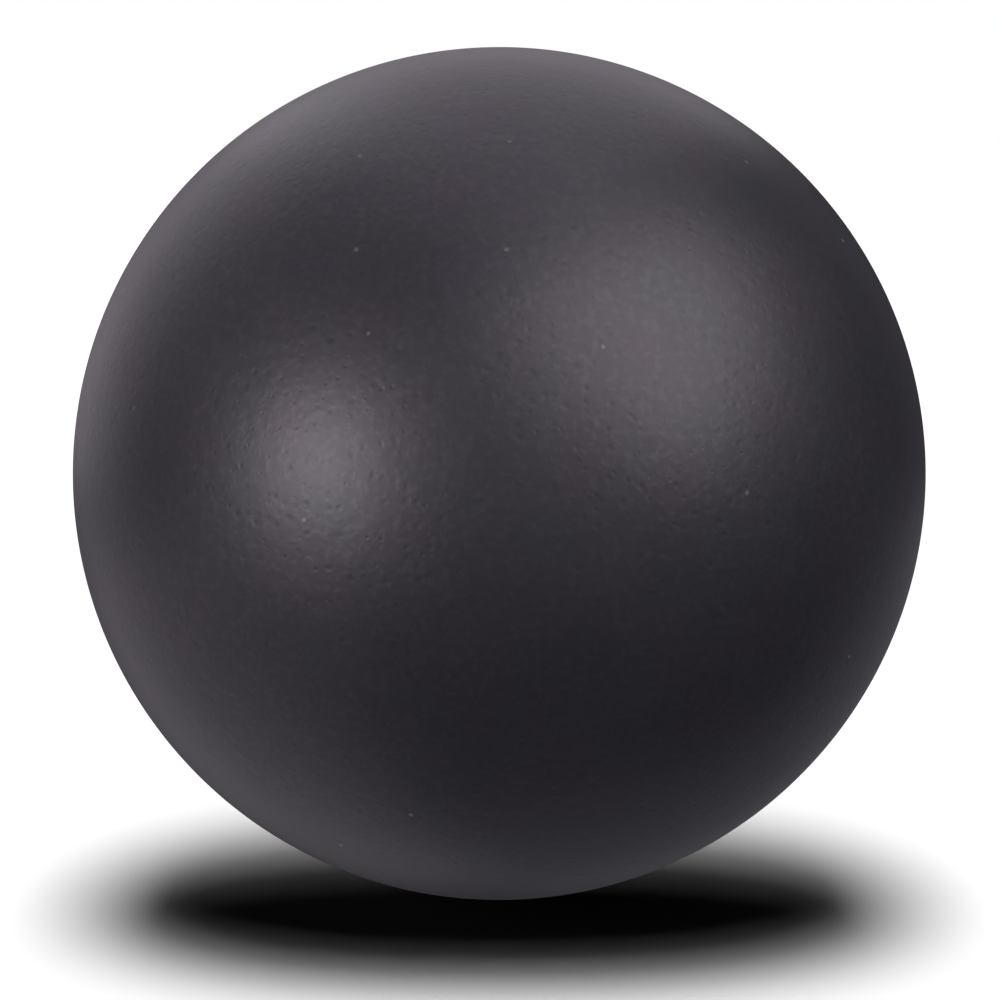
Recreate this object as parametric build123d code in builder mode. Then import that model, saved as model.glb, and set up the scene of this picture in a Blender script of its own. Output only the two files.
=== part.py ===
from build123d import *

import os
from math import acos, asin, degrees, sqrt

# Inflatable friction ball for unscrewing and closing watch case backs. The user
# presses it on the back with the palm and turns it: the tacky skin grips the steel.
#
# From the outside in, it is a thick rubber skin moulded as two half shells and bonded
# at a bevelled seam, a layer of wound nylon thread that keeps the ball round under a
# hard push, and an airtight butyl bladder. A rubber boss carries the needle valve.
#
# The origin is the ball's centre and +Y is the valve's axis, pointing out of the ball.
# Every section is drawn in the XY plane, x being the distance from the valve's axis,
# and turned about Y. All dimensions are in millimetres.

# Driving dimensions: the ball's layers
ball_diameter = 65.0
skin_thickness = 3.2
winding_thickness = 0.7
bladder_thickness = 1.3
bond_gap = 0.05  # film of rubber cement between neighbouring layers
seam_bevel = 2.5  # how far the front half's lip tucks under the back half
seam_groove = 0.12  # buffed witness line around the seam

# Driving dimensions: the valve boss and the patch that holds it to the bladder
nose_radius = 4.0  # the boss's round face, seen at the surface
nose_recess = 0.3  # keeps that face off the watch case
nose_fillet = 0.25
valve_hole_fillet = 0.6
flange_radius = 8.0
flange_thickness = 1.1
flange_fillet = 0.35
boss_body_radius = 4.4
boss_length = 12.4
boss_end_fillet = 0.8
throat_radius = 1.6
throat_length = 1.2
patch_radius = 11.5
patch_thickness = 0.5
patch_step_gap = 0.15  # between the flange's rim and the patch's step down to the bladder
patch_step_run = 0.8

# Driving dimensions: the valve plug
plug_head_radius = 2.95
plug_head_thickness = 1.05
plug_head_recess = 0.25
plug_head_fillet = 0.3
plug_stem_radius = 2.18
plug_length = 9.1
plug_clearance = 0.02
needle_hole_radius = 1.05
needle_hole_depth = 4.5
lead_in_radius = 1.9
lip_thickness = 0.9  # the plug's two lips together, at their tip
lip_length = 3.2
slit_gap = 0.06
slit_width = 2.4

# Radii of the layers
ball_radius = ball_diameter / 2
skin_inner = ball_radius - skin_thickness
winding_outer = skin_inner - bond_gap
winding_inner = winding_outer - winding_thickness
bladder_outer = winding_inner - bond_gap
bladder_inner = bladder_outer - bladder_thickness
flange_outer = bladder_inner - bond_gap
flange_inner = flange_outer - flange_thickness
valve_hole_radius = nose_radius + bond_gap

# Angles above the seam plane, in degrees
front_pole = -90
bevel_angle = degrees(asin(seam_bevel / skin_inner))

# Heights along the valve's axis
boss_top = sqrt(ball_radius**2 - nose_radius**2) - nose_recess
boss_bottom = boss_top - boss_length
plug_top = boss_top - plug_head_recess
plug_seat = plug_top - plug_head_thickness
plug_bottom = plug_top - plug_length
hole_bottom = plug_top - needle_hole_depth

radius_tolerance = 0.01  # rings closer in radius than this are the same
cutter_margin = 1.0  # how far a cutter reaches past what it cuts


def angle(radius, distance):
    """Angle above the seam plane of a sphere's point at a distance from the valve's axis."""
    return degrees(acos(distance / radius))


def arc(radius, start_distance, end_distance):
    """Arc of a sphere's section between two distances from the valve's axis."""
    start = angle(radius, start_distance)
    return CenterArc((0, 0), radius, start, angle(radius, end_distance) - start)


def layer_section(outer_radius, inner_radius, start, inner_start, hole_radius=None):
    """Half section of a spherical layer, from its start angles to the valve hole or the seam."""
    outer_end = angle(outer_radius, hole_radius) if hole_radius else 0
    inner_end = angle(inner_radius, hole_radius) if hole_radius else bevel_angle
    with BuildSketch(Plane.XY) as section:
        with BuildLine():
            outer = CenterArc((0, 0), outer_radius, start, outer_end - start)
            inner = CenterArc((0, 0), inner_radius, inner_start, inner_end - inner_start)
            Line(outer @ 0, inner @ 0)
            Line(outer @ 1, inner @ 1)
        make_face()
    return section.sketch


def rings():
    """The current part's round edges about the valve's axis, the narrowest first."""
    return edges().filter_by(GeomType.CIRCLE).filter_by(Plane.XZ).sort_by(SortBy.RADIUS)


def rings_of(radius):
    """Those of one radius, the innermost first."""
    same = rings().filter_by(lambda ring: abs(ring.radius - radius) < radius_tolerance)
    return same.sort_by(Axis.Y)


def save(builder, name):
    """Labels a finished piece and writes it as parts/NAME.step."""
    builder.part.label = name
    export_step(builder.part, f"parts/{name}.step")


os.makedirs("parts", exist_ok=True)

# Front half of the skin: its seam edge is bevelled, and its lip reaches past the seam
with BuildPart() as front_half_skin:
    revolve(layer_section(ball_radius, skin_inner, front_pole, front_pole), Axis.Y)
    chamfer(rings()[-1], seam_groove)
save(front_half_skin, "front_half_skin")

# Back half of the skin: the same bevel from the other side, and the valve hole
with BuildPart() as back_half_skin:
    revolve(layer_section(ball_radius, skin_inner, 0, bevel_angle, valve_hole_radius), Axis.Y)
    chamfer(rings()[-1], seam_groove)
    fillet(rings_of(valve_hole_radius)[-1], valve_hole_fillet)
save(back_half_skin, "back_half_skin")

# Thread winding: one continuous nylon thread, here as the layer it fills
with BuildPart() as thread_winding:
    section = layer_section(winding_outer, winding_inner, front_pole, front_pole, valve_hole_radius)
    revolve(section, Axis.Y)
save(thread_winding, "thread_winding")

# Bladder: the airtight layer, bonded to the boss's flange
with BuildPart() as bladder:
    section = layer_section(bladder_outer, bladder_inner, front_pole, front_pole, valve_hole_radius)
    revolve(section, Axis.Y)
save(bladder, "bladder")

# Valve boss: a nose through all the layers, a curved flange inside the bladder and a
# long body whose bore grips the plug. A narrow throat at its inner end lets air past.
bore_radius = plug_stem_radius + plug_clearance
seat_radius = plug_head_radius + plug_clearance
with BuildPart() as valve_boss:
    with BuildSketch(Plane.XY):
        with BuildLine():
            flange_top = arc(flange_outer, nose_radius, flange_radius)
            flange_under = arc(flange_inner, flange_radius, boss_body_radius)
            Line(flange_top @ 1, flange_under @ 0)
            Polyline(
                flange_under @ 1,
                (boss_body_radius, boss_bottom),
                (throat_radius, boss_bottom),
                (throat_radius, boss_bottom + throat_length),
                (bore_radius, boss_bottom + throat_length),
                (bore_radius, plug_seat),
                (seat_radius, plug_seat),
                (seat_radius, boss_top),
                (nose_radius, boss_top),
                flange_top @ 0,
            )
        make_face()
    revolve(axis=Axis.Y)
    fillet(rings_of(flange_radius), flange_fillet)
    fillet(rings_of(nose_radius)[-1], nose_fillet)
    fillet(rings_of(boss_body_radius)[0], boss_end_fillet)
save(valve_boss, "valve_boss")

# Valve patch: a rubbered cloth ring that laps over the flange and steps down to the bladder
patch_hole = boss_body_radius + bond_gap
patch_outer = flange_inner - bond_gap
step_start = flange_radius + patch_step_gap
step_end = step_start + patch_step_run
with BuildPart() as valve_patch:
    with BuildSketch(Plane.XY):
        with BuildLine():
            over_flange = arc(patch_outer, patch_hole, step_start)
            over_bladder = arc(flange_outer, step_end, patch_radius)
            under_bladder = arc(flange_outer - patch_thickness, patch_radius, step_end + patch_thickness)
            under_flange = arc(patch_outer - patch_thickness, step_start + patch_thickness, patch_hole)
            Line(over_flange @ 1, over_bladder @ 0)
            Line(over_bladder @ 1, under_bladder @ 0)
            Line(under_bladder @ 1, under_flange @ 0)
            Line(under_flange @ 1, over_flange @ 0)
        make_face()
    revolve(axis=Axis.Y)
save(valve_patch, "valve_patch")

# Valve plug: the self-sealing core. The needle enters a round hole, then parts a slit
# between two lips, which the air pressure presses shut again.
lead_in_depth = lead_in_radius - needle_hole_radius
with BuildPart() as valve_plug:
    with BuildSketch(Plane.XY):
        with BuildLine():
            Polyline(
                (lead_in_radius, plug_top),
                (plug_head_radius, plug_top),
                (plug_head_radius, plug_seat),
                (plug_stem_radius, plug_seat),
                (plug_stem_radius, plug_bottom),
                (0, plug_bottom),
                (0, hole_bottom),
                (needle_hole_radius, hole_bottom),
                (needle_hole_radius, plug_top - lead_in_depth),
                close=True,
            )
        make_face()
    revolve(axis=Axis.Y)
    fillet(rings_of(plug_head_radius)[-1], plug_head_fillet)
    # Two slanting flats bring the stem down to its thin lips
    cutter_side = plug_stem_radius + cutter_margin
    cutter_bottom = plug_bottom - cutter_margin
    with BuildSketch(Plane.XY):
        with BuildLine():
            Polyline(
                (lip_thickness / 2, plug_bottom),
                (plug_stem_radius, plug_bottom + lip_length),
                (cutter_side, plug_bottom + lip_length),
                (cutter_side, cutter_bottom),
                (lip_thickness / 2, cutter_bottom),
                close=True,
            )
        make_face()
        mirror(about=Plane.YZ)
    extrude(amount=cutter_side, both=True, mode=Mode.SUBTRACT)
    # The slit runs from the needle hole to the lips' tip
    with BuildSketch(Plane.XY):
        with Locations((0, (hole_bottom + plug_bottom) / 2)):
            Rectangle(slit_gap, hole_bottom - plug_bottom)
    extrude(amount=slit_width / 2, both=True, mode=Mode.SUBTRACT)
save(valve_plug, "valve_plug")
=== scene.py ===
from math import acos, asin, atan, atan2, copysign, cos, exp, hypot, pi, radians, sin, sqrt, tan

import bmesh
import bpy
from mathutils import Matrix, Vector, noise


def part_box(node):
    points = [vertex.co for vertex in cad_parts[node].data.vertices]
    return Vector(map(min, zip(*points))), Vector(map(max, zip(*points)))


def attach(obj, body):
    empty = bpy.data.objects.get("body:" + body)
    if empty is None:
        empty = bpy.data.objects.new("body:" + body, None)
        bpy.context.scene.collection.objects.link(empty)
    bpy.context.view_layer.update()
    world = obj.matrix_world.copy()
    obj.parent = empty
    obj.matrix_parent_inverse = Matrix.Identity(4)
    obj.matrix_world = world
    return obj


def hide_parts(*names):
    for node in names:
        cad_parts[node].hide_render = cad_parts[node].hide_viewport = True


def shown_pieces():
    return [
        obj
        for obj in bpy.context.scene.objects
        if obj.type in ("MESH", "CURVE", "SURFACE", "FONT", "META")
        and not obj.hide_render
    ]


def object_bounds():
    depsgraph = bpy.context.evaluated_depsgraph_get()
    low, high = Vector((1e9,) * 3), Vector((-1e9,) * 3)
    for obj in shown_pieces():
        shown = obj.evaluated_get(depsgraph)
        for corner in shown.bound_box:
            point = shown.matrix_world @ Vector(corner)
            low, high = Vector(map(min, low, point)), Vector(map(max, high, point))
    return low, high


# An inflatable friction ball for opening watch cases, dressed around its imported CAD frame.
# Metres. The origin is the ball's centre, +Y is the valve's axis, out of the back, and +Z is up.
# Rings lie about the valve's axis. A polar angle is measured from the front pole, at -Y.

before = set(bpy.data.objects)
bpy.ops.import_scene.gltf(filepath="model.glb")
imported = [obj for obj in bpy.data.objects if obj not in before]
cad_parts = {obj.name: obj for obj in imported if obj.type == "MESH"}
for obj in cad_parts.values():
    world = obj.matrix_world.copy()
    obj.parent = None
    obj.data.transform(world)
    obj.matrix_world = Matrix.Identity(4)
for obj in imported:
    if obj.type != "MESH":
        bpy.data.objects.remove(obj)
cad_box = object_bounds()

MM = 0.001
WELD = 0.001 * MM  # points nearer than this become one
BALL = "ball"


# ---------------------------------------------------------------- sizes read from the frame

def shell_radii(node_name):
    """(inner radius, outer radius) of a CAD node that is a spherical layer."""
    distances = [v.co.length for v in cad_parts[node_name].data.vertices]
    return min(distances), max(distances)


def hole_radius(node_name):
    """Radius of the hole that a CAD node has about the valve's axis."""
    return min(hypot(v.co.x, v.co.z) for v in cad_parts[node_name].data.vertices)


def mouth_radius(node_name):
    """Radius of the opening in a valve part's outer face."""
    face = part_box(node_name)[1].y - WELD
    return min(hypot(v.co.x, v.co.z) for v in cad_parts[node_name].data.vertices if v.co.y > face)


skin_inner, ball_radius = shell_radii("front_half_skin")
winding_inner, winding_outer = shell_radii("thread_winding")
bladder_inner, bladder_outer = shell_radii("bladder")
valve_hole = hole_radius("back_half_skin")
patch_hole = hole_radius("valve_patch")
patch_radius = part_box("valve_patch")[1].x
flange_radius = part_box("valve_boss")[1].x
lip_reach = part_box("front_half_skin")[1].y
floor_height = cad_box[0].z


# ---------------------------------------------------------------- surfaces

class Surface:
    """Points and faces of one closed mesh, grown ring by ring about the valve's axis."""

    def __init__(self):
        self.points = []
        self.faces = []

    def ring(self, radius, y, count):
        """Adds a circle of points, the first below a corner of a dome's rim, and returns their indices."""
        first = len(self.points)
        for i in range(count):
            turn = 2 * pi * (i / count - 1 / 8)
            self.points.append(Vector((radius * cos(turn), y, radius * sin(turn))))
        return list(range(first, first + count))

    def bridge(self, fine, coarse):
        """Joins two rings with faces. The first has a whole multiple of the second's points."""
        ratio = len(fine) // len(coarse)
        middle = ratio // 2
        for j, near in enumerate(coarse):
            far = coarse[(j + 1) % len(coarse)]
            span = [fine[(ratio * j + k) % len(fine)] for k in range(ratio + 1)]
            if ratio == 1:
                self.faces.append((span[0], span[1], far, near))
                continue
            for k in range(ratio):
                self.faces.append((span[k], span[k + 1], near if k < middle else far))
            self.faces.append((span[middle], far, near))

    def grow(self, ring, profile, count):
        """Grows a surface from a ring through a profile of (distance from the axis, y).
        Returns its last ring."""
        for radius, y in profile:
            following = self.ring(radius, y, count)
            if len(following) > len(ring):
                self.bridge(following, ring)
            else:
                self.bridge(ring, following)
            ring = following
        return ring

    def dome(self, radius, end_angle, divisions):
        """Adds a cap of a sphere around the front pole, of even squares, and returns its rim.
        It is one face of a cube and the near halves of its four neighbours, blown up round."""
        steps = [tan(pi / 4 * (2 * i / divisions - 1)) for i in range(divisions + 1)]
        grid = [[self.dome_point(radius, end_angle, a, b, 1) for a in steps] for b in steps]
        for row, above in zip(grid, grid[1:]):
            for i in range(divisions):
                self.faces.append((row[i], row[i + 1], above[i + 1], above[i]))
        ring = [row[-1] for row in grid[:-1]] + grid[-1][:0:-1]
        ring += [row[0] for row in grid[:0:-1]] + grid[0][:-1]
        edge = [(1, b) for b in steps[:-1]] + [(-a, 1) for a in steps[:-1]]
        edge += [(-1, -b) for b in steps[:-1]] + [(a, -1) for a in steps[:-1]]
        for k in range(1, divisions // 2 + 1):
            depth = tan(pi / 4 * (1 - 2 * k / divisions))
            outer = [self.dome_point(radius, end_angle, a, b, depth) for a, b in edge]
            self.bridge(ring, outer)
            ring = outer
        return ring

    def dome_point(self, radius, end_angle, a, b, depth):
        """Adds the cap's point under a point of the cube, and returns its index."""
        across = hypot(a, b)
        polar = atan2(across, depth) * end_angle / (pi / 2)
        spread = radius * sin(polar) / across if across else 0
        self.points.append(Vector((a * spread, -radius * cos(polar), b * spread)))
        return len(self.points) - 1

    def push(self, relief):
        """Moves every point along its own direction from the centre, by relief(point)."""
        for point in self.points:
            point += point.normalized() * relief(point)


def sphere_profile(radius, start, end, step):
    """Profile along a sphere between two polar angles, in steps of about one length, ends included."""
    count = max(1, round(abs(end - start) * radius / step))
    angles = [start + (end - start) * i / count for i in range(count + 1)]
    return [(radius * sin(a), -radius * cos(a)) for a in angles]


def make_piece(name, points, faces, material, slot_name, *cad_nodes):
    """A smooth shaded closed mesh, welded where points meet, that rides on the ball and stands for
    CAD nodes."""
    mesh = bpy.data.meshes.new(name)
    mesh.from_pydata(points, [], faces)
    work = bmesh.new()
    work.from_mesh(mesh)
    bmesh.ops.remove_doubles(work, verts=work.verts, dist=WELD)
    bmesh.ops.recalc_face_normals(work, faces=work.faces)
    work.to_mesh(mesh)
    work.free()
    mesh.shade_smooth()
    mesh.materials.append(material)
    piece = bpy.data.objects.new(name, mesh)
    bpy.context.scene.collection.objects.link(piece)
    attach(piece, BALL)
    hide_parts(*cad_nodes)
    return piece


# ---------------------------------------------------------------- material nodes

class Shader:
    """A material with short calls for the procedural nodes used here. Places are in metres."""

    def __init__(self, name):
        self.material = bpy.data.materials.new(name)
        self.material.use_nodes = True
        self.tree = self.material.node_tree
        self.surface = self.tree.nodes["Principled BSDF"]
        self.place = self.add("ShaderNodeTexCoord").outputs["Object"]

    def add(self, kind, inputs=None, **settings):
        """Adds a node. An input takes a value or another node's output."""
        made = self.tree.nodes.new(kind)
        for key, value in settings.items():
            setattr(made, key, value)
        for key, value in (inputs or {}).items():
            if isinstance(value, bpy.types.NodeSocket):
                self.tree.links.new(value, made.inputs[key])
            else:
                made.inputs[key].default_value = value
        return made

    def noise(self, size, detail=2.0, rough=0.5, place=None):
        """Soft noise from 0 to 1 with features of one size."""
        inputs = {"Vector": place or self.place, "Scale": 1 / size, "Detail": detail, "Roughness": rough}
        return self.add("ShaderNodeTexNoise", inputs).outputs["Fac"]

    def cells(self, size):
        """(distance to the nearest of some scattered points, a random number for each point)."""
        made = self.add("ShaderNodeTexVoronoi", {"Vector": self.place, "Scale": 1 / size})
        distance = self.math("MULTIPLY", made.outputs["Distance"], size)
        return distance, self.add("ShaderNodeSeparateColor", {0: made.outputs["Color"]}).outputs[0]

    def math(self, operation, first, second=0.0):
        """One step of arithmetic on one or two values."""
        return self.add("ShaderNodeMath", {0: first, 1: second}, operation=operation).outputs[0]

    def remap(self, value, start, end, low, high):
        """Smoothly turns start..end into low..high, and holds it beyond them."""
        inputs = {"Value": value, "From Min": start, "From Max": end, "To Min": low, "To Max": high}
        made = self.add("ShaderNodeMapRange", inputs, interpolation_type="SMOOTHSTEP")
        return made.outputs[0]

    def mix(self, share, first, second):
        """Mixes two colours."""
        made = self.add("ShaderNodeMix", {0: share}, data_type="RGBA")
        for index, colour in ((6, first), (7, second)):
            if isinstance(colour, bpy.types.NodeSocket):
                self.tree.links.new(colour, made.inputs[index])
            else:
                made.inputs[index].default_value = (*colour, 1)
        return made.outputs[2]

    def colour(self, value):
        """A plain colour as an output."""
        made = self.add("ShaderNodeRGB")
        made.outputs[0].default_value = (*value, 1)
        return made.outputs[0]

    def scaled(self, colour, factor):
        """A colour made lighter or darker by a factor."""
        return self.add("ShaderNodeVectorMath", {0: colour, "Scale": factor}, operation="SCALE").outputs[0]

    def set(self, **inputs):
        """Sets the surface's inputs; an underscore in a name stands for a space."""
        for key, value in inputs.items():
            socket = self.surface.inputs[key.replace("_", " ")]
            if isinstance(value, bpy.types.NodeSocket):
                self.tree.links.new(value, socket)
            else:
                socket.default_value = value

    def bump(self, height, depth, under=None):
        """Bump from a height of 0 to 1 that stands for a depth; under is another bump's output."""
        inputs = {"Height": height, "Distance": depth}
        if under:
            inputs["Normal"] = under
        return self.add("ShaderNodeBump", inputs).outputs[0]


PIT_SPACING = 0.72 * MM
PIT_REACH = (0.2 * MM, 0.42 * MM)  # of the smallest and the widest pits
SPECK_SPACING = 5 * MM
SPECK_EDGE = (0.16 * MM, 0.28 * MM)  # where a speck of dust starts to fade, and ends
SEAM_BAND = (0.9 * MM, 2.6 * MM)  # where the buffing beside the seam starts to fade, and ends
SCRATCH_WIDTH = 0.11 * MM
SKIN_MAUVES = ((0.0192, 0.0198, 0.0240), (0.0208, 0.0196, 0.0244))
SKIN_SHEENS = ((0.93, 0.90, 0.94), (0.975, 0.89, 0.95))
SKIN_DUST = (0.16, 0.16, 0.165)


def pin_pits(s, ragged):
    """1 in the middle of a pin pit and 0 between pits. Each pit has its own width."""
    distance, kind = s.cells(PIT_SPACING)
    reach = s.remap(kind, 0.2, 1, *PIT_REACH)
    return s.remap(s.math("DIVIDE", s.math("ADD", distance, ragged), reach), 0.15, 1.1, 1, 0)


def dust_specks(s, ragged):
    """How much of the rubber the dust hides: scattered specks, from faint to nearly solid."""
    distance, kind = s.cells(SPECK_SPACING)
    speck = s.remap(s.math("ADD", distance, ragged), *SPECK_EDGE, 1, 0)
    return s.math("MULTIPLY", speck, s.remap(kind, 0, 1, 0.25, 0.9))


def seam_buffing(s):
    """(how buffed the skin is beside the seam, the scratches that the buffing leaves along it)."""
    from_seam = s.add("ShaderNodeSeparateXYZ", {0: s.place}).outputs[1]
    wander = s.math("MULTIPLY", s.math("SUBTRACT", s.noise(9 * MM), 0.5), 1.2 * MM)
    band = s.remap(s.math("ABSOLUTE", s.math("ADD", from_seam, wander)), *SEAM_BAND, 1, 0)
    along = s.add("ShaderNodeMapping", {"Vector": s.place, "Scale": (0.1, 1, 0.1)}).outputs[0]
    return band, s.noise(SCRATCH_WIDTH, 2, 0.6, along)


def skin_rubber():
    """Buffed matt rubber, faintly violet charcoal, grained, pitted and a little dusty; its pits hold
    painted shade.
    """
    s = Shader("buffed_skin_rubber")
    cloud = s.noise(15 * MM, 3)
    hue = s.noise(6 * MM, 2)
    mottle = s.noise(1.0 * MM, 1)
    dents = s.remap(s.noise(0.52 * MM, 1), 0.42, 0.82, 0, 1)
    ragged = s.math("MULTIPLY", s.noise(0.3 * MM, 1), 0.12 * MM)
    pit = pin_pits(s, ragged)
    band, scratch = seam_buffing(s)

    fleck = s.math("ADD", s.math("MULTIPLY", dents, 0.6), s.math("MULTIPLY", mottle, 0.4))
    # Painted shade: the pits are made darker, and reflect less, than the rubber around them
    tone = s.math("SUBTRACT", s.remap(fleck, 0.1, 0.7, 0.94, 1.06), s.math("MULTIPLY", pit, 0.07))
    shade = s.math("MULTIPLY", tone, s.remap(cloud, 0.3, 0.7, 0.93, 1.07))
    mauve = s.remap(hue, 0.35, 0.65, 0, 1)
    rubber = s.scaled(s.mix(mauve, *SKIN_MAUVES), s.math("MULTIPLY", shade, s.remap(band, 0, 1, 1, 1.25)))
    rough = s.math("ADD", s.remap(cloud, 0.3, 0.7, 0.435, 0.465), s.math("MULTIPLY", band, 0.05))

    mottled = s.bump(mottle, 0.016 * MM)
    dented = s.bump(dents, 0.0045 * MM, mottled)
    pitted = s.bump(s.math("SUBTRACT", 1.0, pit), 0.01 * MM, dented)
    buffed = s.bump(s.math("MULTIPLY", scratch, band), 0.006 * MM, pitted)
    s.set(Base_Color=s.mix(dust_specks(s, ragged), rubber, SKIN_DUST), Roughness=rough, Normal=buffed)
    s.set(Specular_IOR_Level=s.math("MULTIPLY", tone, 0.5), Specular_Tint=s.mix(mauve, *SKIN_SHEENS))
    return s.material


MOULD_PITCH = 0.22 * MM  # between the fine rings that a turned mould leaves
VALVE_DUST = (0.14, 0.138, 0.135)


def moulded_rubber(name, colour, roughness, dust_rings, film=0.0):
    """Satin rubber as it leaves a turned mould, with dust caught on rings about the valve's axis.
    A ring is (radius, how far the dust reaches on either side), and film is a glossy film's weight."""
    s = Shader(name)
    cloud = s.noise(2.2 * MM, 3)
    grain = s.noise(0.2 * MM, 2, 0.6)
    axes = s.add("ShaderNodeSeparateXYZ", {0: s.place}).outputs
    squares = s.math("ADD", s.math("POWER", axes[0], 2.0), s.math("POWER", axes[2], 2.0))
    from_axis = s.math("SQRT", squares)
    turned = s.math("SINE", s.math("MULTIPLY", from_axis, 2 * pi / MOULD_PITCH))
    dust = 0.0
    for radius, reach in dust_rings:
        gap = s.math("ABSOLUTE", s.math("SUBTRACT", from_axis, radius))
        dust = s.math("MAXIMUM", s.remap(gap, 0.1 * reach, reach, 1, 0), dust)
    caught = s.math("MULTIPLY", dust, s.remap(s.noise(0.6 * MM, 4, 0.7), 0.4, 0.65, 0.1, 1))
    tone = s.math("MULTIPLY", s.remap(cloud, 0.3, 0.7, 0.8, 1.2), s.remap(grain, 0.3, 0.7, 0.85, 1.15))
    base = s.scaled(s.colour(colour), tone)
    s.set(Base_Color=s.mix(caught, base, VALVE_DUST), Specular_Tint=(0.95, 0.9, 0.98, 1))
    satin = s.remap(cloud, 0.3, 0.7, roughness - 0.05, roughness + 0.05)
    grained = s.bump(grain, 0.012 * MM)
    s.set(Roughness=s.math("ADD", satin, s.math("MULTIPLY", caught, 0.3)))
    s.set(Normal=s.bump(turned, 0.0012 * MM, grained), Coat_Weight=film, Coat_Roughness=0.2)
    return s.material


def nylon_thread():
    """Off-white nylon yarn, stained unevenly by the rubber cement that holds it."""
    s = Shader("cemented_nylon_thread")
    stain = s.noise(5 * MM, 4, 0.6)
    fibre = s.noise(0.07 * MM, 3, 0.65)
    yarn = s.mix(s.remap(fibre, 0.3, 0.7, 0, 1), (0.60, 0.57, 0.48), (0.78, 0.75, 0.66))
    cemented = s.mix(s.remap(stain, 0.45, 0.62, 0.0, 0.8), yarn, (0.30, 0.23, 0.14))
    s.set(Base_Color=cemented, Roughness=s.remap(stain, 0.4, 0.65, 0.55, 0.35))
    s.set(Sheen_Weight=0.25, Sheen_Roughness=0.4, Normal=s.bump(fibre, 0.03 * MM))
    return s.material


def butyl_rubber():
    """Smooth black butyl with streaks of the talc that stops it sticking."""
    s = Shader("talced_butyl")
    talc = s.noise(7 * MM, 5, 0.65)
    grain = s.noise(0.25 * MM, 3)
    powder = s.math("MULTIPLY", s.remap(talc, 0.45, 0.7, 0, 0.55), s.remap(grain, 0.35, 0.65, 0.4, 1))
    s.set(Base_Color=s.mix(powder, (0.022, 0.022, 0.024), (0.38, 0.38, 0.36)))
    s.set(Roughness=s.remap(powder, 0, 0.5, 0.34, 0.8), Normal=s.bump(grain, 0.01 * MM))
    return s.material


def rubbered_cloth():
    """Plain weave in dull tan, half filled with rubber."""
    s = Shader("rubbered_cloth")
    fibre = s.noise(0.06 * MM, 3, 0.65)
    smear = s.noise(2.4 * MM, 4, 0.6)
    axes = s.add("ShaderNodeSeparateXYZ", {0: s.place}).outputs
    waves = [s.math("SINE", s.math("MULTIPLY", axes[i], pi / WEAVE_PITCH)) for i in (0, 2)]
    crown = s.remap(s.math("MULTIPLY", waves[0], waves[1]), -1, 1, 0, 1)
    yarn = s.mix(fibre, (0.24, 0.20, 0.15), (0.40, 0.35, 0.27))
    worn = s.mix(s.remap(crown, 0.2, 0.8, 0.75, 0.1), yarn, (0.05, 0.045, 0.04))
    s.set(Base_Color=s.mix(s.remap(smear, 0.5, 0.7, 0, 0.7), worn, (0.035, 0.033, 0.032)))
    s.set(Roughness=s.remap(smear, 0.45, 0.7, 0.85, 0.5), Normal=s.bump(fibre, 0.03 * MM))
    return s.material


# ---------------------------------------------------------------- the two half skins

SEAM_RING = 640
VALVE_RING = SEAM_RING // 2
INNER_RING = SEAM_RING // 4
FINE_STEP = 0.36 * MM
COARSE_STEP = 1.2 * MM
GROOVE_DEPTH = 0.12 * MM
GROOVE_WIDTH = 0.16 * MM
SEAM_ROWS = [0.9, 0.55, 0.32, 0.2, 0.12, 0.05, 0]  # distances from the seam plane, in millimetres
VALVE_FILLET = 0.6 * MM
THINNING = radians(135)  # polar angle past which the back's rings have half as many points
FILLET_STEPS = 8
WALL_STEPS = 6


def skin_relief(point):
    """How far the moulded and buffed outer side of the skin stands off a true sphere."""
    if point.length < ball_radius - MM / 2:
        return 0
    swell = 0.014 * MM * noise.noise(point / (11 * MM))
    peel = 0.0022 * MM * noise.noise(point / (1.4 * MM))
    buffed = -0.02 * MM * exp(-((point.y / (1.5 * MM)) ** 2))
    uneven = 0.8 + 0.5 * noise.noise(Vector((point.x, 0, point.z)) / (3 * MM))
    groove = -GROOVE_DEPTH * uneven * exp(-((point.y / GROOVE_WIDTH) ** 2))
    return swell + peel + buffed + groove


def seam_rows(side):
    """Profile of the closely spaced rings beside the seam; side is -1 in front and 1 behind."""
    return [(sqrt(ball_radius**2 - (d * MM) ** 2), side * d * MM) for d in SEAM_ROWS]


def front_skin(material):
    """The half without the valve: a dome, its seam, and an inner dome that laps behind the seam."""
    s = Surface()
    seam_edge = asin(SEAM_ROWS[0] * MM / ball_radius)
    outer = s.dome(ball_radius, pi / 2 - seam_edge, SEAM_RING // 4)
    seam = s.grow(outer, seam_rows(-1)[1:], SEAM_RING)
    lip = s.grow(seam, [(sqrt(skin_inner**2 - lip_reach**2), lip_reach)], INNER_RING)
    inner = s.dome(skin_inner, pi / 2 + asin(lip_reach / skin_inner), INNER_RING // 4)
    # The inner dome's rim is set on the lip, and make_piece welds the two
    for near, far in zip(lip, inner):
        s.points[far] = s.points[near].copy()
    s.push(skin_relief)
    return make_piece("front_skin", s.points, s.faces, material, "friction_rubber", "front_half_skin")


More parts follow.
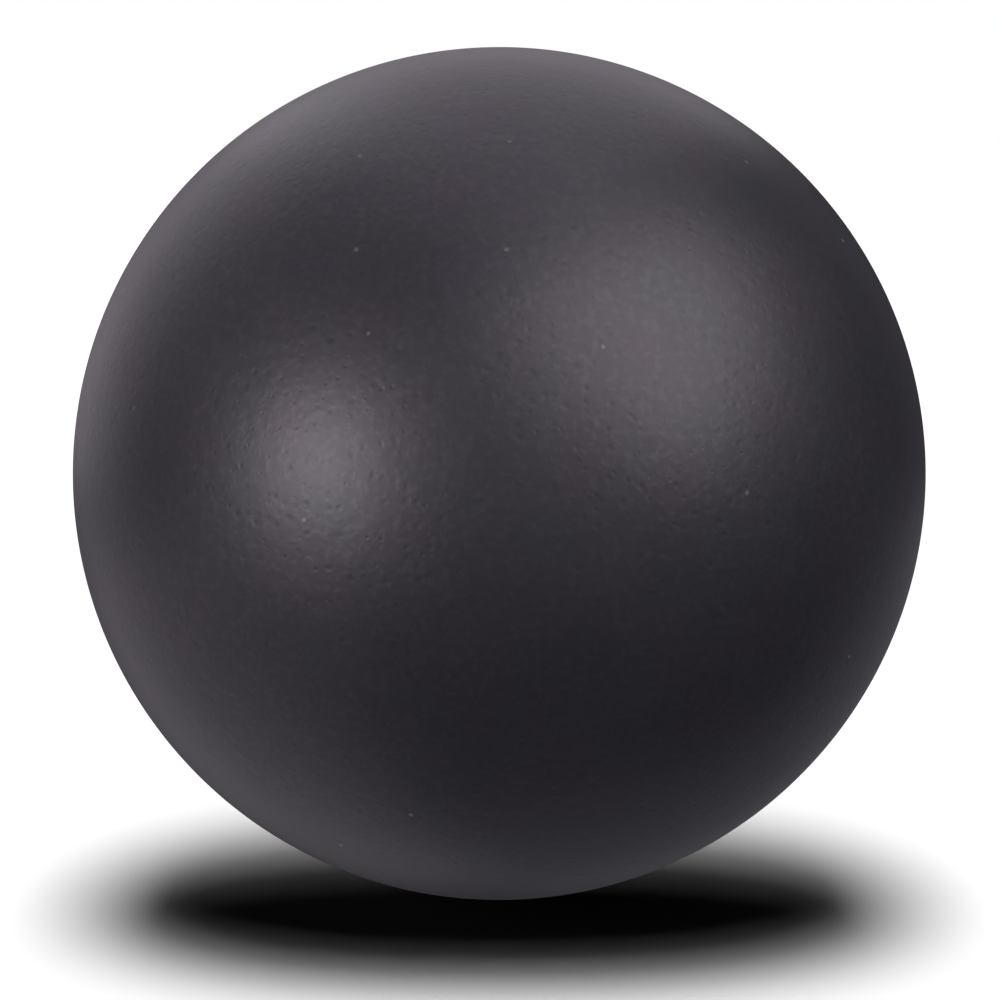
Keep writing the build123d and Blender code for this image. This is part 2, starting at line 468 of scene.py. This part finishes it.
def back_skin(material):
    """The half with the valve's hole, from the seam out to the hole and back along the inner side."""
    s = Surface()
    seam = s.ring(*seam_rows(1)[-1], SEAM_RING)
    ring = s.grow(seam, seam_rows(1)[-2::-1], SEAM_RING)
    start = pi / 2 + asin(SEAM_ROWS[0] * MM / ball_radius)
    ring = s.grow(ring, sphere_profile(ball_radius, start, THINNING, FINE_STEP)[1:], SEAM_RING)
    # The rim is rounded by an arc that touches the ball's surface and the hole's wall
    turn_x = valve_hole + VALVE_FILLET
    turn_y = sqrt((ball_radius - VALVE_FILLET) ** 2 - turn_x**2)
    rim = pi - asin(turn_x / (ball_radius - VALVE_FILLET))
    ring = s.grow(ring, sphere_profile(ball_radius, THINNING, rim, FINE_STEP)[1:], VALVE_RING)
    tilt = atan2(turn_y, turn_x)
    angles = [tilt + (pi - tilt) * (i + 1) / FILLET_STEPS for i in range(FILLET_STEPS)]
    rounding = [(turn_x + VALVE_FILLET * cos(a), turn_y + VALVE_FILLET * sin(a)) for a in angles]
    ring = s.grow(ring, rounding, VALVE_RING)
    bottom = pi - asin(valve_hole / skin_inner)
    wall_end = -skin_inner * cos(bottom)
    heights = [turn_y + (wall_end - turn_y) * (i + 1) / WALL_STEPS for i in range(WALL_STEPS)]
    wall = [(valve_hole, height) for height in heights]
    ring = s.grow(ring, wall, VALVE_RING)
    lip_angle = pi / 2 + asin(lip_reach / skin_inner)
    inner = sphere_profile(skin_inner, bottom, lip_angle, COARSE_STEP)[1:]
    ring = s.grow(ring, inner, INNER_RING)
    s.bridge(seam, ring)
    s.push(skin_relief)
    return make_piece("back_skin", s.points, s.faces, material, "friction_rubber", "back_half_skin")


# ---------------------------------------------------------------- the layers inside

THREAD_TURNS = 190
THREAD_STEP = radians(3.3)
THREAD_FINE_STEP = radians(0.1)  # the shortest step, where the thread turns round the valve
THREAD_WIDTH = 0.7 * MM
THREAD_THICKNESS = 0.24 * MM
TILT_CYCLE = 47.3  # turns in which the wound circle's tilt sweeps up and back down
SWING = radians(11.3)  # how far its plane swings about the valve's axis in each turn
VALVE_DETOUR = radians(25)  # threads nearer the valve than this are pushed outwards round it
BLADDER_RING = 320
VENTS = 16
BLADDER_STEP = 0.6 * MM
VENT_DEPTH = 0.09 * MM
VENT_WIDTH = 1.1 * MM
BOND = 0.05 * MM  # between the bladder and the cloth
PATCH_RING = 360
PATCH_STEP = 0.14 * MM
PATCH_THICKNESS = 0.5 * MM
PATCH_DROP = (0.15 * MM, 0.95 * MM)  # where it leaves the flange and meets the bladder, past the flange
WEAVE_PITCH = 0.6 * MM
WEAVE_DEPTH = 0.04 * MM


def thread_directions():
    """The wound thread's path over the ball as (share of the winding done, unit direction).
    It follows a great circle whose plane slowly tilts and swings, and goes round the valve."""
    clearance = asin((valve_hole + THREAD_WIDTH) / winding_outer)
    turn = 0.0
    while turn < 2 * pi * THREAD_TURNS:
        turns = turn / (2 * pi)
        sweep = abs(2 * (turns / TILT_CYCLE % 1) - 1)
        tilt = acos(1 - sweep)
        swing = SWING * turns
        across, along = cos(turn), sin(turn) * cos(tilt)
        x = across * cos(swing) - along * sin(swing)
        z = across * sin(swing) + along * cos(swing)
        y = sin(turn) * sin(tilt)
        from_valve = acos(max(-1.0, min(1.0, y)))
        if from_valve < VALVE_DETOUR:
            pushed = clearance + from_valve * (1 - clearance / VALVE_DETOUR)
            spread = sin(pushed) / max(hypot(x, z), 1e-9)
            x, y, z = x * spread, cos(pushed), z * spread
        yield turns / THREAD_TURNS, Vector((x, y, z))
        turn += min(THREAD_STEP, THREAD_FINE_STEP + 0.2 * from_valve)


def thread_winding():
    """One continuous flattened thread, wound from the bladder outwards."""
    path = list(thread_directions())
    room = winding_outer - winding_inner - THREAD_THICKNESS
    points, faces = [], []
    for i, (done, towards) in enumerate(path):
        before, after = path[max(i - 1, 0)][1], path[min(i + 1, len(path) - 1)][1]
        side = towards.cross(after - before).normalized() * THREAD_WIDTH / 2
        rise = towards * THREAD_THICKNESS / 2
        centre = towards * (winding_inner + THREAD_THICKNESS / 2 + room * done)
        points += [centre + side, centre + rise, centre - side, centre - rise]
    for start in range(0, len(points) - 4, 4):
        for k in range(4):
            a, b = start + k, start + (k + 1) % 4
            faces.append((a, b, b + 4, a + 4))
    faces += [(0, 1, 2, 3), tuple(range(len(points) - 4, len(points)))]
    return make_piece("wound_thread", points, faces, nylon_thread(), "nylon_thread", "thread_winding")


def bladder_relief(point):
    """Shallow vent grooves down the bladder's outside, which let air out from under the thread."""
    if point.length < (bladder_inner + bladder_outer) / 2:
        return 0
    spacing = 2 * pi / VENTS
    off = (atan2(point.z, point.x) / spacing + 0.5) % 1 - 0.5
    distance = off * spacing * hypot(point.x, point.z)
    fade = min(1.0, hypot(point.x, point.z) / bladder_outer * 2.5)
    return -VENT_DEPTH * fade * exp(-((2 * distance / VENT_WIDTH) ** 2))


def airtight_bladder():
    """The air's own layer, whole in front and open at the back for the valve."""
    s = Surface()
    outer = s.dome(bladder_outer, pi / 2, BLADDER_RING // 4)
    rim = pi - asin(valve_hole / bladder_outer)
    ring = s.grow(outer, sphere_profile(bladder_outer, pi / 2, rim, BLADDER_STEP)[1:], BLADDER_RING)
    bottom = pi - asin(valve_hole / bladder_inner)
    ring = s.grow(ring, [(valve_hole, -bladder_inner * cos(bottom))], BLADDER_RING)
    s.grow(ring, sphere_profile(bladder_inner, bottom, pi / 2, COARSE_STEP)[1:], BLADDER_RING // 2)
    # This dome's rim has the last ring's own places, and make_piece welds the two
    s.dome(bladder_inner, pi / 2, BLADDER_RING // 8)
    s.push(bladder_relief)
    return make_piece("airtight_bladder", s.points, s.faces, butyl_rubber(), "butyl_rubber", "bladder")


def arc_profile(radius, start, end, step):
    """Profile along a sphere at the back between two distances from the axis."""
    return sphere_profile(radius, pi - asin(start / radius), pi - asin(end / radius), step)


def cloth_patch():
    """A ring of rubbered cloth, from over the valve's flange down onto the bladder."""
    on_flange = max(v.co.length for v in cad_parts["valve_patch"].data.vertices
                    if hypot(v.co.x, v.co.z) < flange_radius)
    on_bladder = bladder_inner - BOND
    step_start, step_end = (flange_radius + past for past in PATCH_DROP)
    under = PATCH_THICKNESS
    outside = arc_profile(on_flange, patch_hole, step_start, PATCH_STEP)
    outside += arc_profile(on_bladder, step_end, patch_radius, PATCH_STEP)
    inside = arc_profile(on_bladder - under, patch_radius, step_end + under, PATCH_STEP)
    inside += arc_profile(on_flange - under, step_start + under, patch_hole, PATCH_STEP)
    s = Surface()
    first = s.ring(*outside[0], PATCH_RING)
    last = s.grow(first, outside[1:] + inside, PATCH_RING)
    s.bridge(last, first)
    for point in s.points:
        weave = sin(pi * point.x / WEAVE_PITCH) * sin(pi * point.z / WEAVE_PITCH)
        point.y += WEAVE_DEPTH / 2 * (weave - 1)
    return make_piece("cloth_patch", s.points, s.faces, rubbered_cloth(), "rubbered_cloth", "valve_patch")


# ---------------------------------------------------------------- the valve's rubber parts

GAP_DUST = 0.35 * MM  # how far dust reaches on either side of a gap between two parts
EDGE_DUST = 0.16 * MM  # how far it reaches on either side of the needle hole's edge


def dress_valve():
    """Gives the two moulded valve parts, which are the CAD's own meshes, their rubber."""
    head_gap = (mouth_radius("valve_boss"), GAP_DUST)
    nose_gap = (valve_hole, GAP_DUST)
    port_edge = (mouth_radius("valve_plug"), EDGE_DUST)
    boss_rubber = moulded_rubber("moulded_boss_rubber", (0.030, 0.029, 0.031), 0.42, [head_gap, nose_gap])
    plug_rings = [head_gap, port_edge]
    plug_rubber = moulded_rubber("glossed_plug_rubber", (0.024, 0.024, 0.026), 0.36, plug_rings, film=0.25)
    for node_name, material in (("valve_boss", boss_rubber), ("valve_plug", plug_rubber)):
        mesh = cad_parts[node_name].data
        mesh.materials.clear()
        mesh.materials.append(material)


# ---------------------------------------------------------------- studio

STUDIO_RADIUS = 0.9  # from the ball's centre to each light
# The gels and the softboxes are rounded from numerical fits of the ball's shading to the photograph,
# made outside this script, and a few of them were then changed slightly.
PINK_GEL = (1.0, 0.95, 1.0)
VIOLET_GEL = (0.98, 0.91, 1.0)
BLUE_GEL = (0.88, 0.88, 1.0)
# Each softbox: azimuth, elevation, half width and half height in degrees, power in watts, colour
SOFTBOXES = {
    "left_key": (-46, 8.5, 12, 12.5, 5.9, PINK_GEL),
    "right_key": (47, 42, 29, 18, 7.7, PINK_GEL),
    "right_low": (49, 18, 10, 4, 1.6, PINK_GEL),
    "top_back": (181, 58, 27, 40, 4.2, VIOLET_GEL),
    "left_back": (-135, 23, 20, 30, 1.95, VIOLET_GEL),
    "low_left": (-115, -43, 32, 32, 2.3, VIOLET_GEL),
    "low_right": (141, -49, 24, 40, 1.16, BLUE_GEL),
    "right_back": (147, 17, 5, 28, 0.07, BLUE_GEL),
}
VALVE_SOFTBOX = (207, 24, 14, 14, 6.0, (1, 1, 1))
AMBIENT = 0.004  # the strength of the surroundings as a light
FLOOR_SIZE = 40.0
FLOOR_ALBEDO = 0.08  # low, so that light from the ball does not fill its shadow
FLOOR_WHITE = 1.08  # the lit floor's brightness, where 1 is the picture's white
# The overhead lights and the card are rounded from a numerical fit to the photograph's shadow.
OVERHEAD_ANGLE = 16.3  # how wide each overhead light looks from the floor, in degrees
OVERHEAD_STEP = 5.7  # degrees between the lights of a fore and aft row, which softens the shadow in depth
# The card that shapes the soft shadow: half width, half depth, place towards the camera and height
CARD = (1.0, 0.67, 0.135, 1.5)  # in ball radii
CARD_SLOPE = 0.59  # how it rises to the back, where the shadow is softer
CARD_FULLNESS = 2.3  # power of its outline, where 2 is an ellipse and more is squarer
CARD_CORNERS = 96


def direction(azimuth, elevation):
    """Unit vector from the ball. Azimuth 0 is the camera's side and grows to the right, in degrees."""
    a, e = radians(azimuth), radians(elevation)
    return Vector((sin(a) * cos(e), -cos(a) * cos(e), sin(e)))


def place(data, azimuth, elevation, distance):
    """Adds a light or camera that looks at the ball's centre from a direction."""
    towards = direction(azimuth, elevation)
    made = bpy.data.objects.new(data.name, data)
    made.location = towards * distance
    made.rotation_mode = "QUATERNION"
    made.rotation_quaternion = towards.to_track_quat("Z", "Y")
    bpy.context.scene.collection.objects.link(made)
    return made


def softbox(name, azimuth, elevation, half_width, half_height, power, colour):
    """A rectangular soft light that faces the ball."""
    light = bpy.data.lights.new(name, "AREA")
    light.shape = "RECTANGLE"
    light.size = 2 * STUDIO_RADIUS * tan(radians(half_width))
    light.size_y = 2 * STUDIO_RADIUS * tan(radians(half_height))
    light.energy = power
    light.color = colour
    return place(light, azimuth, elevation, STUDIO_RADIUS)


def overhead_suns():
    """The soft lights from above that whiten the floor, the middle one strongest."""
    steps = range(-2, 3)
    shares = [exp(-(step**2) / 2) for step in steps]
    suns = []
    for step, share in zip(steps, shares):
        light = bpy.data.lights.new("overhead", "SUN")
        light.angle = radians(OVERHEAD_ANGLE)
        light.energy = FLOOR_WHITE * pi / FLOOR_ALBEDO * share / sum(shares)
        suns.append(place(light, 0, 90 - step * OVERHEAD_STEP, STUDIO_RADIUS))
    return suns


def shadow_card():
    """An unseen sloping oval card within the ball's height that gives the floor its oval shadow."""
    half_width, half_depth, forward, height = (ball_radius * share for share in CARD)
    points = []
    for i in range(CARD_CORNERS):
        turn = 2 * pi * i / CARD_CORNERS
        x, y = (copysign(abs(u) ** (2 / CARD_FULLNESS), u) for u in (cos(turn), sin(turn)))
        rise = y * half_depth * CARD_SLOPE
        points.append((x * half_width, y * half_depth - forward, floor_height + height + rise))
    mesh = bpy.data.meshes.new("shadow_card")
    mesh.from_pydata(points, [], [tuple(range(CARD_CORNERS))])
    card = bpy.data.objects.new("shadow_card", mesh)
    bpy.context.scene.collection.objects.link(card)
    card.visible_camera = False
    card.visible_diffuse = False
    card.visible_glossy = False
    card.visible_transmission = False
    return card


def valve_light():
    """A small softbox behind the ball that picks the black valve out of the black skin."""
    return softbox("valve_light", *VALVE_SOFTBOX)


def light_only(lamps, lit, blockers, name):
    """Lets these lamps light only some objects, and only some objects shade them."""
    groups = [bpy.data.collections.new(f"{name}_{role}") for role in ("lit", "blockers")]
    for group, members in zip(groups, (lit, blockers)):
        for each in members:
            group.objects.link(each)
    for lamp in lamps:
        lamp.light_linking.receiver_collection, lamp.light_linking.blocker_collection = groups


def white_world():
    """White where the camera sees it, and nearly dark as a light."""
    world = bpy.data.worlds.new("studio")
    bpy.context.scene.world = world
    world.use_nodes = True
    nodes, links = world.node_tree.nodes, world.node_tree.links
    seen = nodes.new("ShaderNodeLightPath").outputs["Is Camera Ray"]
    strength = nodes.new("ShaderNodeMapRange")
    strength.inputs["To Min"].default_value = AMBIENT
    links.new(seen, strength.inputs["Value"])
    links.new(strength.outputs[0], nodes["Background"].inputs["Strength"])
    nodes["Background"].inputs["Color"].default_value = (1, 1, 1, 1)


def pale_floor():
    """A large matt floor under the ball."""
    half = FLOOR_SIZE / 2
    corners = [(-half, -half), (half, -half), (half, half), (-half, half)]
    mesh = bpy.data.meshes.new("floor")
    mesh.from_pydata([(x, y, floor_height) for x, y in corners], [], [(0, 1, 2, 3)])
    s = Shader("pale_floor")
    s.set(Base_Color=(FLOOR_ALBEDO, FLOOR_ALBEDO, FLOOR_ALBEDO, 1), Roughness=1.0, Specular_IOR_Level=0.0)
    mesh.materials.append(s.material)
    floor = bpy.data.objects.new("floor", mesh)
    bpy.context.scene.collection.objects.link(floor)
    # It doesn't throw light or shadow on the ball
    floor.visible_diffuse = False
    floor.visible_glossy = False
    floor.visible_shadow = False
    return floor


LENS = 85  # millimetres, and so is the sensor's width
SENSOR = 36
# The share and the shift are measured from a circle fitted to the ball's outline in the photograph.
BALL_SHARE = 0.853  # the ball's diameter as a share of the picture's side
CAMERA_ELEVATION = 8  # degrees
SHIFT = (0.0008, -0.02665)  # of the lens, across and up, as shares of the picture's side


def photo_camera():
    """Sets the scene's camera, as far away as makes the ball fill its share of the picture."""
    data = bpy.data.cameras.new("camera")
    data.lens = LENS
    data.sensor_width = SENSOR
    data.shift_x, data.shift_y = SHIFT
    half_angle = atan(BALL_SHARE * SENSOR / 2 / LENS)
    bpy.context.scene.camera = place(data, 0, CAMERA_ELEVATION, ball_radius / sin(half_angle))


# ---------------------------------------------------------------- the object

skin_material = skin_rubber()
front_skin(skin_material)
back_skin(skin_material)
thread_winding()
airtight_bladder()
cloth_patch()
dress_valve()

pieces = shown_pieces()
white_world()
floor = pale_floor()
card = shadow_card()
photo_camera()
softboxes = [softbox(name, *settings) for name, settings in SOFTBOXES.items()]
light_only(softboxes, pieces, pieces, "ball")
valve_parts = [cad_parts[name] for name in ("valve_boss", "valve_plug")]
light_only([valve_light()], valve_parts, pieces, "valve")
light_only(overhead_suns(), [floor], [card], "floor")
bpy.context.scene.view_settings.view_transform = "Standard"
